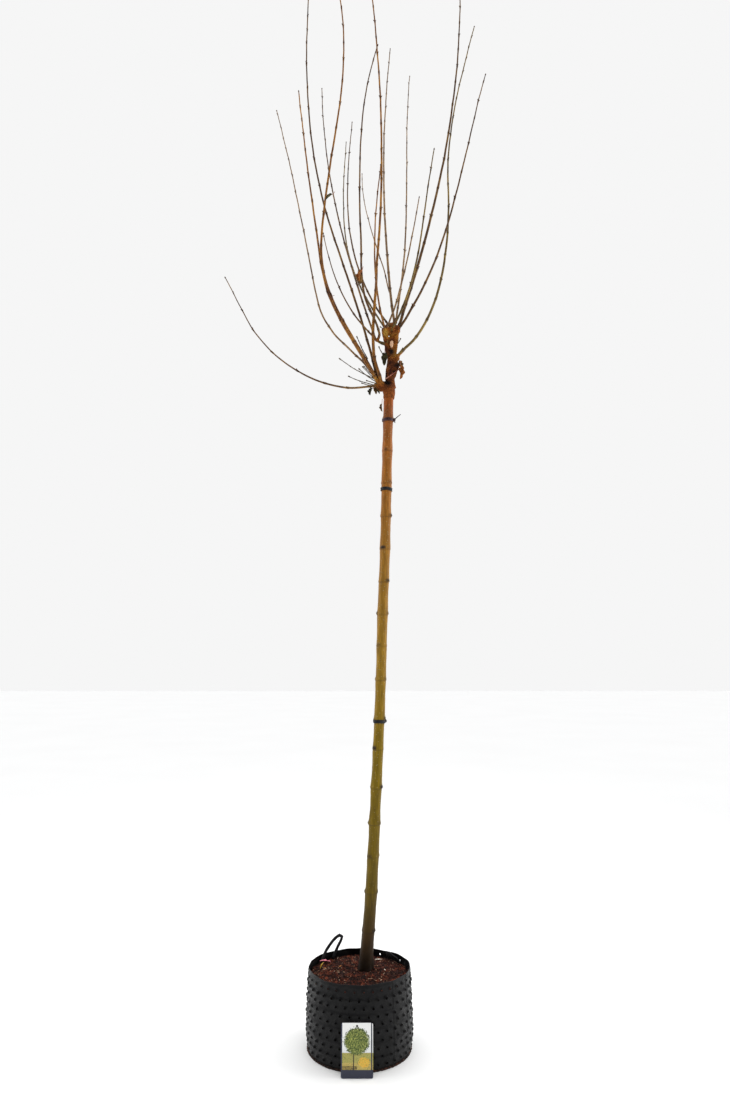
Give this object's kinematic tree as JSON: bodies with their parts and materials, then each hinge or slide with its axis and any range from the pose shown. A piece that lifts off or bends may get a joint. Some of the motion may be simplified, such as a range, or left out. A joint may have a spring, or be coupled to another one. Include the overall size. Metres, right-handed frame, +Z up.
{
  "type": "young grafted tree in a bag pot",
  "caption": "Bare young tree with a tall clear stem, a grafted head and long upright shoots, standing in a round perforated bag pot of soil.",
  "frame": {"origin": "middle of the bag pot's flat underside", "axes": "+Z up along the stem, -Y towards the front, +X to the right"},
  "size_m": [1.0886, 0.8739, 4.5221],
  "materials": {
    "stem_bark": "matte, smooth young bark",
    "graft_bark": "matte, rough healed bark",
    "shoot_bark": "satin young bark",
    "bag_film": "satin woven and punched film",
    "potting_soil": "matte bark and peat",
    "tie_tape": "matte",
    "label_card": "satin printed sheet"
  },
  "bodies": {
    "root": {"bag_pot": "bag_film", "root_ball": "potting_soil", "handle_left": "bag_film", "handle_right": "bag_film", "stem": "stem_bark", "tie_lower": "tie_tape", "tie_middle": "tie_tape", "tie_upper": "tie_tape", "head_centre_limb": "graft_bark", "head_left_fork": "graft_bark", "head_right_fork": "graft_bark", "head_right_arm": "graft_bark", "head_cut_stub": "graft_bark", "head_left_knuckle": "graft_bark", "head_upper_knuckle": "graft_bark", "shoot_left_2_lower": "shoot_bark", "shoot_left_2_upper": "shoot_bark", "shoot_left_3_lower": "shoot_bark", "shoot_left_3_upper": "shoot_bark", "shoot_left_1_lower": "shoot_bark", "shoot_left_1_upper": "shoot_bark", "shoot_left_4_lower": "shoot_bark", "shoot_left_4_upper": "shoot_bark", "shoot_centre_tall_lower": "shoot_bark", "shoot_centre_tall_upper": "shoot_bark", "shoot_low_left_lower": "shoot_bark", "shoot_low_left_upper": "shoot_bark", "shoot_cross_limb": "shoot_bark", "shoot_cross_front": "shoot_bark", "shoot_cross_back": "shoot_bark", "shoot_back_1": "shoot_bark", "shoot_back_2": "shoot_bark", "shoot_front_left_lower": "shoot_bark", "shoot_front_left_upper": "shoot_bark", "shoot_front_short": "shoot_bark", "shoot_back_tall": "shoot_bark", "shoot_back_side": "shoot_bark", "shoot_back_right": "shoot_bark", "shoot_front_right_1": "shoot_bark", "shoot_front_right_2": "shoot_bark", "shoot_right_thick": "shoot_bark", "shoot_right_sweep_lower": "shoot_bark", "shoot_right_sweep_upper": "shoot_bark", "shoot_right_out": "shoot_bark", "plant_label": "label_card"}
  },
  "joints": []
}
